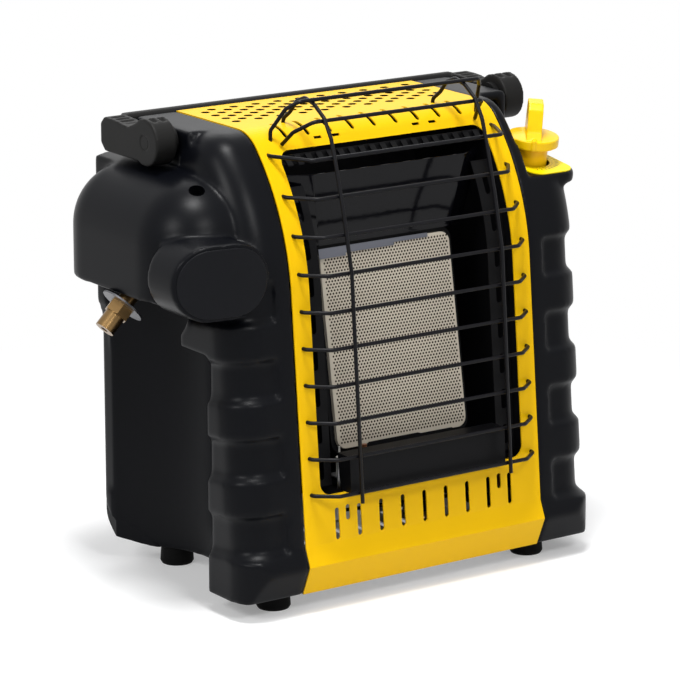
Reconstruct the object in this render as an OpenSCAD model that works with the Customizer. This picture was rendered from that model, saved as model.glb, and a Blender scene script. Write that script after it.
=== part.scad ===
// Portable propane heater with a radiant ceramic burner, seen from the front along +Y.
// Pieces are drawn about the panel's centre line: x to the right, y from the panel's foot
// towards the back, z up from the floor. placed() then moves that drawing so that the
// origin is on the floor at the middle of the heater's footprint.

/* [Front panel] */
// Width of the yellow sheet between the two moulded shells
panel_w = 227; // [221:1:233]
// Thickness of the sheet metal
sheet = 1.2; // [1:0.1:1.6]
// Height of the flat deck above the floor
deck_z = 366; // [364:1:368]
// Backward lean of the straight part of the front, degrees
lean = 5.35; // [5:0.05:5.7]
// Radius of the long curve above the straight part
curve_r = 180; // [178:1:182]
// Radius of the bend between the long curve and the deck
bend_r = 34; // [33:1:35]
// Angle from vertical at which the long curve meets the bend
curve_end = 43; // [42:0.5:44]
// Width of the burner window
window_w = 195; // [190:1:196]
// Height of the window's lower edge above the floor
window_z0 = 91; // [89:1:92]
// Height of the window's upper edge above the floor
window_z1 = 351; // [349:1:352]
// Spacing of the slots across the panel
slot_pitch = 20.8; // [20.4:0.1:21.2]

/* [Guard] */
// Diameter of the guard's wire
wire_d = 3.2; // [3:0.1:3.4]
// Height of the lowest bar
bar_z0 = 93.5; // [92:0.5:95]
// Vertical spacing of the bars
bar_pitch = 28.4; // [28:0.1:28.8]
// Number of bars in front of the window
bar_count = 10; // [10:1:10]
// Sideways place of the two upright wires
upright_x = 71.5; // [68:0.5:75]

/* [Burner] */
// Width of the ceramic tile
tile_w = 124; // [120:1:126]
// Height of the ceramic tile along its own face
tile_h = 156; // [152:1:158]
// Thickness of the ceramic tile
tile_t = 13; // [12:0.5:14]
// Backward tilt of the tile, degrees
tile_tilt = 9.7; // [9.5:0.1:10]

/* [Shells] */
// Side of the front columns, from the centre line
column_x = 170; // [169:0.5:171]
// Side of the shoulders above the columns
shoulder_x = 155; // [154:0.5:156]
// Corner radius over the shoulders
shoulder_r = 26; // [20:1:26]
// Side of the gas-bottle dome
dome_x = 208; // [207:0.5:209]
// Rear face of the shells
shell_back = 203; // [202.5:0.5:204]
// Corner radius down the columns
column_r = 28; // [26:1:30]
// Depth of the grip recesses
grip_depth = 5; // [4:0.5:6]
// Vertical spacing of the grip recesses
grip_pitch = 60; // [59:0.5:61]
// Radius of the bay that the gas bottle stands in
bay_r = 78; // [77:0.5:78.5]
// Wall of the moulded shells
wall = 3; // [2.5:0.5:3.5]

/* [Handle] */
// Height of the handle's pivot
pivot_z = 356; // [355.5:0.5:356.5]
// Distance of the pivot behind the panel's foot
pivot_y = 123; // [122.5:0.5:123.5]
// Outer side of the handle's arms, from the centre line
arm_x = 176; // [175:0.5:176]
// Inner side of the handle's arms
arm_in_x = 157.3; // [157:0.1:158]

/* [Knob] */
// Radius of the knob's skirt
knob_r = 21; // [19:0.5:22]
// Tilt of the control shelf towards the front, degrees
shelf_tilt = 8; // [7:0.5:9]
// Travel of the knob when it is pushed in
push_travel = 4; // [2:0.5:5]

/* [Gas inlet] */
// Angle of the inlet from straight down at rest, degrees
inlet_angle = 45; // [40:1:45]
// Radius of the threaded inlet
inlet_r = 8; // [7.5:0.1:8.5]
// Length of the threaded inlet
inlet_len = 14; // [12:0.5:16]

/* [Hidden] */
$fn = 96;

yellow = [1, 0.80, 0];
black = [0.06, 0.065, 0.075];
charcoal = [0.16, 0.16, 0.16];
wire_black = [0.08, 0.08, 0.08];
steel = [0.62, 0.63, 0.64];
brass = [0.72, 0.56, 0.24];
copper = [0.72, 0.43, 0.30];
ceramic = [0.82, 0.75, 0.63];

eps = 0.01;
step = 0.02;
big = 500;
clear = 0.3;
side_x = panel_w / 2;
floor_z = 15;
deck_end_y = 175;
body_back_y = 198;

// Side profile of the sheet, as (y, z)
foot = [0, floor_z];
fold_nose = [-10, 38.7];
fold_top = [-4, 53];
inward = [cos(lean), -sin(lean)];
curve_z = deck_z - curve_r * (sin(curve_end) - sin(lean)) - bend_r * (1 - sin(curve_end));
curve_start = [fold_top.x + (curve_z - fold_top.y) * tan(lean), curve_z];
curve_c = curve_start + curve_r * inward;
bend_c = curve_c + (curve_r - bend_r) * [-cos(curve_end), sin(curve_end)];
bend_start_z = curve_c.y + curve_r * sin(curve_end);
straight_len = norm(curve_start - fold_top);

// Distance of the sheet's outer face behind its foot, at height z
function skin_y(z) =
    z < curve_z ? fold_top.x + (z - fold_top.y) * tan(lean)
    : z < bend_start_z ? curve_c.x - sqrt(pow(curve_r, 2) - pow(z - curve_c.y, 2))
    : bend_c.x - sqrt(pow(bend_r, 2) - pow(z - bend_c.y, 2));

// Overall reach, which sets the origin
pod_x = 216;
guard_low = [-19.5, 86];
reach_front = guard_low.x - wire_d / 2;
swivel = [-180, 118, 253];
inlet_base = 38.4;
reach_left = -swivel.x + (inlet_base + inlet_len) * sin(inlet_angle) + inlet_r * cos(inlet_angle);
centre = [(arm_x - reach_left) / 2, (shell_back + reach_front) / 2, 0];
module placed() translate(-centre) children();

// A 2-D drawing of (y, z) carried from x0 to x1, of (x, z) from y0 to y1, of (x, y) from z0 to z1
module from_x(x0, x1) translate([x0, 0, 0]) rotate([90, 0, 90]) linear_extrude(x1 - x0) children();
module from_y(y0, y1) translate([0, y1, 0]) rotate([90, 0, 0]) linear_extrude(y1 - y0) children();
module from_z(z0, z1) translate([0, 0, z0]) linear_extrude(z1 - z0) children();
module both_sides() {
    children();
    mirror([1, 0, 0]) children();
}

// A slice of a disc between two angles
module pie(c, r, a0, a1) {
    mid = (a0 + a1) / 2;
    translate(c) intersection() {
        circle(r);
        polygon([[0, 0], for (a = [a0, mid, a1]) 2 * r * [cos(a), sin(a)]]);
    }
}

// A rectangle whose far upper corner is round
module corner_rect(l, w, r) {
    square([l - r, w]);
    square([l, w - r]);
    intersection() {
        translate([l - r, w - r]) circle(r);
        square([l, w]);
    }
}

module round_rect(w, l, r) {
    square([w - 2 * r, l], center = true);
    square([w, l - 2 * r], center = true);
    for (i = [-1, 1], j = [-1, 1]) translate([i * (w / 2 - r), j * (l / 2 - r)]) circle(r);
}

// A slot with round ends, long way along y
module slot(w, l) {
    square([w, l - w], center = true);
    for (s = [-1, 1]) translate([0, s * (l - w) / 2]) circle(d = w);
}

module rod(a, b, d) {
    v = b - a;
    translate(a) rotate([0, acos(v.z / norm(v)), atan2(v.y, v.x)]) cylinder(h = norm(v), d = d);
}

function unit(v) = v / norm(v);

// Points along an arc of radius r that rounds the corner b between a and c
bend_steps = 3;
function fillet(a, b, c, r) =
    let (u = unit(b - a), v = unit(c - b), turn = acos(u * v), n = unit(v - (u * v) * u),
         o = b - u * r * tan(turn / 2) + n * r)
    [for (k = [0:bend_steps]) o - n * r * cos(turn * k / bend_steps) + u * r * sin(turn * k / bend_steps)];

function carried(n, t) = unit(n - (n * t) * t);

// A bent wire or pipe of diameter d through a list of points, its corners rounded by r
wire_sides = 10;
module wire(points, d, r) {
    last = len(points) - 1;
    path = concat([points[0]], [for (i = [1:last - 1]) each fillet(points[i - 1], points[i], points[i + 1], r)],
                  [points[last]]);
    end = len(path) - 1;
    way = [for (i = [0:end]) unit((i == end ? [0, 0, 0] : unit(path[i + 1] - path[i]))
                                  + (i == 0 ? [0, 0, 0] : unit(path[i] - path[i - 1])))];
    start = carried(abs(way[0].z) < 0.9 ? [0, 0, 1] : [0, 1, 0], way[0]);
    side = [for (i = 0, n = start; i <= end; i = i + 1, n = carried(n, way[min(i, end)])) n];
    n = wire_sides;
    polyhedron(
        points = [for (i = [0:end], k = [0:n - 1])
            path[i] + d / 2 * (cos(360 * k / n) * side[i] + sin(360 * k / n) * cross(way[i], side[i]))],
        faces = concat([[for (k = [0:n - 1]) k], [for (k = [n - 1:-1:0]) end * n + k]],
            [for (i = [0:end - 1], k = [0:n - 1]) each [
                [i * n + k, (i + 1) * n + k, (i + 1) * n + (k + 1) % n],
                [i * n + k, (i + 1) * n + (k + 1) % n, i * n + (k + 1) % n]]]));
}

// Side profile of the body behind the sheet, set in by d
module flats(d) polygon([[body_back_y, floor_z], foot + [d, 0], fold_nose + [d, 0], fold_top + d * inward,
    curve_start + d * inward, curve_c, bend_c, [bend_c.x, deck_z - d], [body_back_y, deck_z - d]]);

module profile(d) {
    flats(d);
    pie(curve_c, curve_r - d, 180 - lean, 180 - curve_end);
    pie(bend_c, bend_r - d, 180 - curve_end, 90);
}

// Sheet t thick along the front and the top of that profile, from x0 to x1
module skin(x0, x1, t) {
    from_x(x0, x1) {
        polygon([foot, fold_nose, fold_top, curve_start, curve_start + t * inward, fold_top + t * inward,
            fold_nose + [t, 0], foot + [t, 0]]);
        translate([bend_c.x, deck_z - t]) square([body_back_y - bend_c.x, t]);
    }
    from_x(x0, x1) difference() {
        pie(curve_c, curve_r, 180 - lean + 0.4, 180 - curve_end);
        translate(curve_c) circle(curve_r - t);
    }
    from_x(x0, x1) difference() {
        pie(bend_c, bend_r, 180 - curve_end, 90);
        translate(bend_c) circle(bend_r - t);
    }
}

// ---------------------------------------------------------------- front panel

apron_z = 67.5;
apron_slot = [4, 25];
short_slot_z = 75;
clip_x = 73;
hole_x = 106;
tab_slit_x = [-56, -39, 37, 53];
perf_rows = 8;
perf_y0 = 112;
perf_step = 7.3;

module window_hole() {
    translate([0, (window_z0 + window_z1) / 2]) round_rect(window_w, window_z1 - window_z0, 10);
}

module deck_perforations() {
    for (row = [0:perf_rows - 1], i = [-4.5:4.5]) {
        x = (i + (row % 2) / 2) * slot_pitch - slot_pitch / 4;
        if (abs(x) < 101) translate([x, perf_y0 + row * perf_step]) rotate(90) slot(2.5, 8);
    }
}

module front_panel() color(yellow) difference() {
    skin(-side_x, side_x, sheet);
    from_x(-side_x - 1, side_x + 1) {
        translate([deck_end_y, 0]) square(big);
        translate([20, 0]) square([big, 100]);
    }
    from_y(-30, 90) window_hole();
    from_y(-30, 30) {
        for (k = [-4:4]) translate([k * slot_pitch, apron_z]) slot(apron_slot.x, apron_slot.y);
        for (s = [-1, 1]) translate([s * clip_x, short_slot_z]) slot(4, 12);
    }
    from_y(30, 70) for (x = tab_slit_x) translate([x, 356.5]) square([7, 2], center = true);
    for (k = [0:bar_count - 1], s = [-1, 1]) translate([s * hole_x, 0, bar_z0 + k * bar_pitch])
        from_y(-30, 90) circle(d = wire_d);
    from_z(deck_z - 25, deck_z + 5) {
        for (k = [-4:4]) translate([k * slot_pitch, 77]) slot(3.6, 22);
        deck_perforations();
        for (s = [-1, 1]) {
            translate([s * upright_x, 88]) circle(d = wire_d);
            translate([s * loop_end.x, loop_end.y]) circle(d = wire_d);
        }
    }
}

// ---------------------------------------------------------------- wire guard

loop_end = [98, 66];
upright_path = [guard_low, [-4.6, 264], [6.5, 310], [17, 346], [23, 364], [32, 378], [46, 387],
                [58, 390], [69, 386], [78, 376], [88, 369], [88, 358]];

// Place of the upright wire at height z, on its way up the front
function upright_y(z) = lookup(z, [for (i = [0:4]) [upright_path[i].y, upright_path[i].x]]);

module guard_bar(z) {
    y = upright_y(z) + wire_d;
    side = [[hole_x, skin_y(z) + 6, z], [hole_x, skin_y(z) - 3, z], [90, y, z]];
    wire(concat(side, [for (i = [2:-1:0]) [-side[i].x, side[i].y, side[i].z]]), wire_d, 5);
}

module guard_bars() color(wire_black) for (k = [0:bar_count - 1]) guard_bar(bar_z0 + k * bar_pitch);

module guard_uprights() color(wire_black)
    for (s = [-1, 1]) wire([for (p = upright_path) [s * upright_x, p.x, p.y]], wire_d, 6);

// The loop over the top, and the bar along the bend
module guard_top_loop() color(wire_black) {
    top = [46, 387 + wire_d];
    side = [[loop_end.x, loop_end.y, 352], [loop_end.x, loop_end.y, 366], [92, 54, 384], [85, top.x, top.y]];
    wire(concat(side, [for (i = [3:-1:0]) [-side[i].x, side[i].y, side[i].z]]), wire_d, 5);
    bend_bar = [34.2, 375.6];
    bar = [[92, 59.5, 355.5], [88, 50, 366], [80, bend_bar.x, bend_bar.y]];
    wire(concat(bar, [for (i = [2:-1:0]) [-bar[i].x, bar[i].y, bar[i].z]]), wire_d, 5);
}

// ---------------------------------------------------------------- moulded shells

// A section of (depth, x) turned about the axis of one of the profile's two arcs
module turned(c, a0, a1)
    translate([0, c.x, c.y]) rotate([90, 0, 90]) rotate([0, 0, a0]) rotate_extrude(angle = a1 - a0) children();

// The body behind the sheet from the centre plane x0 out to x1, its outer front edge rounded by r
module rolled(x0, x1, r, d, back) {
    translate([0, fold_top.x, fold_top.y]) rotate([-lean, 0, 0])
        translate([0, curve_r, 0]) mirror([0, 1, 0])
            linear_extrude(straight_len) translate([x0, 0]) rotate(90) mirror([0, 1, 0])
                corner_rect(curve_r - d, x1 - x0, r);
    turned(curve_c, 180 - curve_end, 181 - lean) intersection() {
        translate([0, x0 + step]) corner_rect(curve_r - d - step, x1 - x0 - 2 * step, r);
        translate([curve_r - 60, 0]) square(big);
    }
    turned(bend_c, 88, 182 - curve_end) intersection() {
        translate([0, x0 + 2 * step])
            corner_rect(bend_r - d - 2 * step, x1 - x0 - 4 * step, min(r, bend_r - d - 1));
        translate([3.3, 0]) square(big);
    }
    from_y(bend_c.x, back) translate([x0, deck_z - d - 60]) corner_rect(x1 - x0, 60, min(r, bend_r - d - 1));
    from_x(x0 + 3 * step, x1 - 3 * step) polygon(concat([for (z = [60 : 54 : 330]) [skin_y(z) + 30, z]],
        [[80, deck_z - 30], [back, deck_z - 30], [back, 60]]));
}

// The foot of a shell, folded like the sheet in front and round at its outer corner
module shell_foot(x1, r, d, back) intersection() {
    from_x(side_x + step, x1 - step) polygon([foot + [d, 0], fold_nose + [d, 0], fold_top + d * inward,
        fold_top + [d + 3, 8], [back, fold_top.y + 8], [back, floor_z]]);
    from_z(0, 80) translate([0, fold_nose.x + d]) difference() {
        square([x1, big]);
        translate([x1 - r, 0]) difference() {
            square(r);
            translate([0, r]) circle(r);
        }
    }
}

grip_z0 = 52;
grip_h = 31;
grip_in_x = 128;

// One grip recess: a trapezoid groove carried along the front, round the corner and down the side
module grip(k, x1) {
    slope = 3;
    out = 8;
    h = grip_h / 2;
    translate([0, fold_top.x, fold_top.y]) rotate([-lean, 0, 0])
        translate([0, 0, grip_z0 + grip_h / 2 + k * grip_pitch - fold_top.y]) {
            from_x(grip_in_x, x1 - column_r) polygon([[-out, -h - slope], [-1, -h - slope],
                [grip_depth, -h + slope], [grip_depth, h - slope], [-1, h + slope], [-out, h + slope]]);
            translate([x1 - column_r, column_r, 0]) rotate([0, 0, -90]) rotate_extrude(angle = 90)
                polygon([[column_r + out, -h - slope], [column_r + 1, -h - slope],
                    [column_r - grip_depth, -h + slope], [column_r - grip_depth, h - slope],
                    [column_r + 1, h + slope], [column_r + out, h + slope]]);
            from_y(column_r, 60) polygon([[x1 + 1, -h - slope], [x1 - grip_depth, -h + slope],
                [x1 - grip_depth, h - slope], [x1 + 1, h + slope]]);
        }
}

// The upright corner of a body behind the sheet, between its foot and the height top
module column(x1, r, d, top) intersection() {
    rolled(side_x, x1, r, d, bend_c.x + 20);
    from_z(0, top) translate([0, -50]) square([big, big]);
}

hollow = 8;
ledge_z = 336;
block_x = 152;
block_y = 97;
flare_c = [218, 195];
flare_r = 50;
dome_r = 50;
dome_top_c = [158, 285];
dome_front = [158, 85];
dome_rear = [173, 168];
bay_c = [203, 118];
bay_top = 240;
chamber_c = [115, 245];
chamber_r = 45;

// Front view of the dome, on the side of +x
module dome_outline(d) difference() {
    union() {
        square([dome_top_c.x, dome_top_c.y + dome_r - d]);
        square([dome_x - d, dome_top_c.y]);
        translate(dome_top_c) circle(dome_r - d);
    }
    translate([0, -big]) square([big, big + floor_z + d]);
    difference() {
        translate([column_x - 2 - d, 0]) square([big, flare_c.y]);
    }
    translate(flare_c) circle(flare_r + d);
}

module dome(d) {
    from_y(dome_front.y, dome_rear.y) intersection() {
        dome_outline(d);
        translate([side_x + step, 0]) square(big);
    }
    from_x(shoulder_x - 12, dome_front.x + 0.7) intersection() {
        translate([dome_front.x + dome_front.y, 0]) mirror([1, 0]) dome_outline(d + 4 * step);
        translate([0, flare_c.y + 10]) square([dome_front.y + 5, big]);
    }
    for (corner = [[dome_front, -90, 1, 91], [dome_rear, -1, 5, 92]])
        translate(concat(corner[0], [0])) rotate([0, 0, corner[1]]) rotate_extrude(angle = corner[3])
            intersection() {
                translate([-corner[0].x, 0]) dome_outline(d + corner[2] * step);
                translate([0, flare_c.y]) square([big, big]);
            }
    from_y(dome_rear.y - 1, shell_back - d) intersection() {
        dome_outline(d);
        translate([side_x + 2 * step, 0]) square([dome_rear.x - side_x, big]);
    }
}

// The rear part of a shell between the dome and the sheet panel, up to the ledge under the handle
module shell_block(x1, d) from_y(block_y + d, deck_end_y - d)
    translate([side_x + 3 * step, 200]) corner_rect(x1 - side_x - d, deck_z - 200 - d - step, 4);

swoop_r = 40;
swoop_c = [85, 203];
bay_back = 187;

// Space for the gas bottle: open to the outside, below and into the chamber under the dome
module bay() {
    from_z(-1, swoop_c.y) translate(bay_c) circle(bay_r);
    from_z(swoop_c.y - eps, bay_top) intersection() {
        translate([bay_c.x - 100, swoop_c.x]) square([160, bay_back - swoop_c.x]);
        union() {
            translate(bay_c) circle(bay_r);
            translate([bay_c.x, 0]) square([60, 300]);
        }
    }
    from_x(column_x + 0.5, 260) translate(swoop_c) circle(swoop_r);
    from_x(128, 204.5) translate(chamber_c) circle(chamber_r);
}

// The bay with its wall round it, which the shell's own cavity leaves standing
module bay_wall() {
    from_z(-1, bay_top + wall) translate(bay_c) circle(bay_r + wall);
    from_x(128 - wall, 204.5) translate(chamber_c) circle(chamber_r + wall);
}

pod_r = 29.5;
pod_z = 267.5;
pod_in_x = 137;
pod_front_y = 8;
pod_depth_y = 58;
pod_bow_r = 231;

// Stadium that carries the badge plate, its front face bowed back towards the side
module pod(grow, front) intersection() {
    from_y(-5, pod_depth_y) translate([(pod_x + pod_in_x) / 2, pod_z]) rotate(90)
        slot(2 * (pod_r + grow), pod_x - pod_in_x + 2 * grow);
    from_z(200, 320) {
        translate([pod_in_x + 2, pod_bow_r + front]) circle(pod_bow_r, $fn = 360);
        translate([100, front]) square([pod_in_x - 98, 100]);
    }
}

module rear_chamfer() from_x(137, 260) polygon([[163, 10], [203, 52], [260, 52], [260, 0], [163, 0]]);

cavity_x = 143;

// Inside of both shells as seen from the side, clear of the curved front by the value hollow
inner_outline = concat([[9, floor_z + wall], [-1, fold_nose.y + 1]],
    [for (z = [60 : 19 : 345]) [skin_y(z) + hollow, z]],
    [[bend_c.x, deck_z - hollow], [deck_end_y - 5, deck_z - hollow], [deck_end_y - 5, 325],
     [shell_back - 5, 325], [shell_back - 5, floor_z + wall]]);

// Inside of the left shell, open towards the panel
module left_cavity() difference() {
    from_x(side_x - 1, cavity_x) polygon(inner_outline);
    bay_wall();
}

module left_shell() color(black) mirror([1, 0, 0]) difference() {
    union() {
        difference() {
            column(column_x, column_r, 0, 262);
            bay();
        }
        difference() {
            shell_foot(column_x, column_r, 0, shell_back - 5);
            bay();
        }
        difference() {
            intersection() {
                rolled(side_x, shoulder_x, shoulder_r, 0, block_y + 10);
                from_z(200, big) square([big, big * 2], center = true);
            }
            bay();
        }
        difference() {
            union() {
                dome(0);
                shell_block(block_x, 0);
                pod(0, pod_front_y);
            }
            bay();
        }
    }
    left_cavity();
    rear_chamfer();
    for (k = [0:3]) grip(k, column_x);
    from_x(block_x - 30, block_x + 1) translate([pivot_y, pivot_z]) circle(pin_r + handle_play);
    from_x(shoulder_x - 14, shoulder_x + 1) translate([87, 322]) circle(6);
    from_x(100, 130) translate([118, 253]) circle(5);
    badge_space(clear, step);
}

badge_t = 1.2;
badge_rim = 3;

// The badge plate's shape, wider all round by rim and deeper by deep for the seat it lies in
module badge_space(rim, deep) intersection() {
    pod(rim - badge_rim, pod_front_y - clear);
    difference() {
        from_y(-6, pod_depth_y) square(big);
        translate([0, badge_t + deep, 0]) pod(10, pod_front_y);
    }
}

module badge_plate() color(charcoal) mirror([1, 0, 0]) badge_space(0, 0);

// ---------------------------------------------------------------- right shell and control shelf

rib_x = 125;
knob_at = [150, 62, 313];
shelf_x = 176;
shelf_y0 = 28;
pocket_y = 95;
collar_hole_r = 15;

module at_knob() translate(knob_at) rotate([shelf_tilt, 0, 0]) children();

// Plan of the control shelf, set in by d
module shelf_outline(d) translate([3, -4]) round_rect(2 * (shelf_x - knob_at.x) - 6 - 2 * d, 58 - 2 * d, 14 - d);

// Everything above a plane parallel to the shelf, h above it
module above_shelf(h) at_knob() translate([0, 0, h]) from_z(0, 150) translate([-25, -80]) square([80, 113]);

module right_body(d) {
    column(column_x, column_r, d, 330);
    shell_foot(column_x, column_r, d, shell_back - 5);
    from_y(44, dome_rear.y) translate([side_x + step, floor_z + d])
        corner_rect(column_x - side_x - d - 5 * step, 318 - 2 * d, 22);
    translate([column_x - 35, dome_rear.y, 0]) rotate([0, 0, -1]) rotate_extrude(angle = 92)
        translate([0, floor_z + d + clear]) corner_rect(35 - d - clear, 318 - 2 * d - 2 * clear, 22);
    from_y(dome_rear.y - 1, shell_back - d) translate([side_x + 2 * step, floor_z + d + 2 * step])
        square([column_x - 35 - side_x, 318 - 2 * d - 4 * step]);
    shell_block(block_x, d);
    from_y(pocket_y, shell_back - d - step) translate([side_x + 4 * step, 200])
        square([block_x - side_x - d, ledge_z - 200 - d]);
}

module right_shell() color(black) difference() {
    union() {
        difference() {
            right_body(0);
            above_shelf(0);
            for (k = [0:3]) grip(k, column_x);
        }
        intersection() {
            rolled(side_x, rib_x, 5, 0, block_y + 10);
            from_z(200, big) square([big, big * 2], center = true);
        }
        at_knob() from_z(-10, 0) shelf_outline(0);
    }
    difference() {
        union() {
            from_x(side_x - 1, cavity_x) polygon(inner_outline);
            from_x(cavity_x - 1, column_x - hollow) polygon([[40, floor_z + wall + 1], [160, floor_z + wall + 1],
                [160, 300], [44, 300], [40, 280]]);
        }
        above_shelf(-shelf_wall);
    }
    at_knob() cylinder(r = collar_hole_r, h = 40, center = true);
    from_x(block_x - 30, block_x + 1) translate([pivot_y, pivot_z]) circle(pin_r + handle_play);
    rear_chamfer();
}

// ---------------------------------------------------------------- rear panel, base and feet

rear_panel_y = 200;
back_sheet = 0.8;
back_gap = 1.2;
vent_pitch = 16;

module rear_panel() color(wire_black) difference() {
    from_x(-side_x + clear, side_x - clear) polygon([
        [rear_panel_y, floor_z + 2], [rear_panel_y, ledge_z - back_gap], [deck_end_y + back_sheet, ledge_z - back_gap],
        [deck_end_y + back_sheet, deck_z - 1], [deck_end_y, deck_z - 1], [deck_end_y, ledge_z - back_gap - back_sheet],
        [rear_panel_y - back_sheet, ledge_z - back_gap - back_sheet], [rear_panel_y - back_sheet, floor_z + 2]]);
    from_y(190, 210) {
        for (k = [-5:5]) translate([k * vent_pitch, 60]) slot(5, 50);
        for (k = [-5:5]) translate([k * vent_pitch, 290]) slot(5, 40);
        for (s = [-1, 1], z = [30, 180, 325]) translate([s * 105, z]) circle(1.6);
    }
}

module rear_screws() color(steel) for (s = [-1, 1], z = [30, 180, 325]) translate([s * 105, rear_panel_y, z])
    rotate([-90, 0, 0]) difference() {
        union() {
            cylinder(r1 = 3.4, r2 = 2.6, h = 1.6);
            translate([0, 0, -9]) cylinder(r = 1.6, h = 9);
        }
        translate([0, 0, 0.8]) for (a = [0, 90]) rotate(a) cube([3.6, 0.8, 2], center = true);
    }

module base_plate() color(steel) difference() {
    union() {
        from_z(floor_z, floor_z + sheet) translate([-side_x + clear, 1.5])
            square([panel_w - 2 * clear, rear_panel_y - sheet - 1.5]);
        both_sides() from_x(side_x - clear - sheet, side_x - clear) translate([6, floor_z])
            square([186, 12]);
    }
    from_z(floor_z - 1, floor_z + 5) for (k = [-4:4]) translate([k * 20, 110]) slot(6, 60);
}

foot_r = 13.5;
foot_at = [[123.3, 27], [123.3, 166]];

module rubber_feet() color(wire_black) both_sides() for (p = foot_at) translate(concat(p, [0])) difference() {
    union() {
        cylinder(r1 = foot_r - 1.2, r2 = foot_r, h = 2);
        translate([0, 0, 2]) cylinder(r1 = foot_r, r2 = foot_r - 0.8, h = floor_z - 2);
    }
    translate([0, 0, -1]) cylinder(r = 4, h = 9);
}

module shell_screws() color(steel) {
    mirror([1, 0, 0]) rod([shoulder_x - 14, 87, 322], [shoulder_x - 11, 87, 322], 8);
    both_sides() for (p = foot_at) translate(concat(p, [4])) cylinder(r = 4, h = 4);
}

// ---------------------------------------------------------------- handle

pin_r = 5;
arm_r = 18.5;
bar_y0 = 177.3;
bar_y1 = 187;
handle_play = 0.05;

module handle_side() {
    difference() {
        union() {
            translate([pivot_y, pivot_z]) circle(arm_r);
            polygon([[pivot_y, pivot_z - 16], [pivot_y + 30, 340], [bar_y1 - 6, 340], [bar_y1, 346],
                [bar_y1, 362], [bar_y1 - 5, 367], [bar_y0 - 8, 367], [pivot_y + 25, 364.5], [pivot_y, 374.5]]);
        }
        translate([pivot_y, pivot_z]) circle(pin_r + handle_play);
    }
}

module handle() color(charcoal) difference() {
    union() {
        both_sides() from_x(arm_in_x, arm_x) handle_side();
        from_x(-arm_in_x - 1, arm_in_x + 1) translate([(bar_y0 + bar_y1) / 2, 354])
            round_rect(bar_y1 - bar_y0, 28, 4);
    }
    both_sides() {
        from_z(371, 380) for (x = [162, 170]) translate([x, pivot_y]) slot(4, 15);
        for (i = [0:3]) from_x(arm_in_x + 3, arm_x - 3) translate([pivot_y + 32 + i * 7, 367])
            square([4, 5], center = true);
    }
}

module handle_pivot_pins() color(steel) both_sides() {
    rod([block_x - 26, pivot_y, pivot_z], [arm_x - 3, pivot_y, pivot_z], 2 * pin_r);
    rod([block_x + 0.4, pivot_y, pivot_z], [arm_in_x - 0.4, pivot_y, pivot_z], 24);
}

// ---------------------------------------------------------------- knob, valve and igniter

collar_r = 13;
skirt_z = 15.5;
skirt_h = 9.5;
fin_t = 12;
fin_h = 25;
pointer_angle = 235;
stem_r = 4;
stem_end = -60;
shelf_wall = 12;

module dial_plate() color(yellow) at_knob() from_z(0, 0.8) difference() {
    intersection() {
        shelf_outline(2.5);
        translate([-22, -40]) square([60, 80]);
    }
    circle(collar_hole_r + 0.5);
}

module control_knob() color(yellow) at_knob() difference() {
    union() {
        translate([0, 0, -3]) cylinder(r = collar_r, h = skirt_z + 3 + eps);
        translate([0, 0, skirt_z]) rotate_extrude() {
            square([knob_r, skirt_h - 2]);
            intersection() {
                translate([0, skirt_h - 90]) circle(90, $fn = 360);
                square([knob_r - 1, skirt_h]);
            }
        }
        rotate([0, 0, pointer_angle]) {
            from_y(-1.6, 1.6) translate([knob_r - 6, skirt_z + 0.5]) square([7, skirt_h - 1]);
            from_y(-fin_t / 2, fin_t / 2) polygon([[-19, skirt_z + 2], [-14, skirt_z + skirt_h + fin_h - 3],
                [-11, skirt_z + skirt_h + fin_h], [3, skirt_z + skirt_h + fin_h], [8, skirt_z + skirt_h + fin_h - 4],
                [13, skirt_z + skirt_h + 4], [17, skirt_z + skirt_h - 1], [17, skirt_z + 2]]);
        }
    }
    translate([0, 0, -4]) cylinder(r = stem_r + step, h = 24);
}

module valve_stem() color(steel) at_knob() translate([0, 0, stem_end]) cylinder(r = stem_r, h = 20 - stem_end - 4);

module gas_valve() color(brass) at_knob() difference() {
    union() {
        translate([0, 0, -48]) cylinder(r = 11, h = 28);
        translate([0, 0, -46]) rotate(30) cylinder(r = 13, h = 12, $fn = 6);
        translate([0, 0, -40]) rotate([0, -90, 0]) cylinder(r = 5, h = 17);
        translate([0, 0, -28]) rotate([0, -90, 0]) cylinder(r = 4, h = 17);
        translate([0, 0, -34]) rotate([-90, 0, 0]) cylinder(r = 5, h = 17);
    }
    translate([0, 0, -50]) cylinder(r = stem_r + 0.05, h = 40);
}

module valve_bracket() color(steel) difference() {
    at_knob() translate([0, 0, -20]) from_z(0, sheet) difference() {
        translate([-36, -17]) square([47.6, 34]);
        circle(stem_r + 1);
    }
    from_x(0, side_x) square(big);
}

module igniter_plunger() color(charcoal) at_knob() {
    translate([0, 0, stem_end - clear - 4]) cylinder(r = 6, h = 4);
    translate([0, 0, stem_end - 24]) cylinder(r = 3, h = 22);
}

module piezo_igniter() color(wire_black) at_knob() difference() {
    translate([0, 0, stem_end - 40]) {
        cylinder(r = 9, h = 26);
        translate([0, 0, 26 - 3]) translate([-27, -9, 0]) cube([27, 18, 3]);
    }
    translate([0, 0, stem_end - 30]) cylinder(r = 3.05, h = 30);
}

// ---------------------------------------------------------------- regulator and swivelling inlet

swivel_pin_r = 4;

module regulator() color(steel) difference() {
    union() {
        rod([-128, swivel.y, swivel.z], [-156, swivel.y, swivel.z], 46);
        rod([-156, swivel.y, swivel.z], [-162, swivel.y, swivel.z], 34);
    }
    rod([-127, swivel.y, swivel.z], [-140, swivel.y, swivel.z], 6);
}

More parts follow.
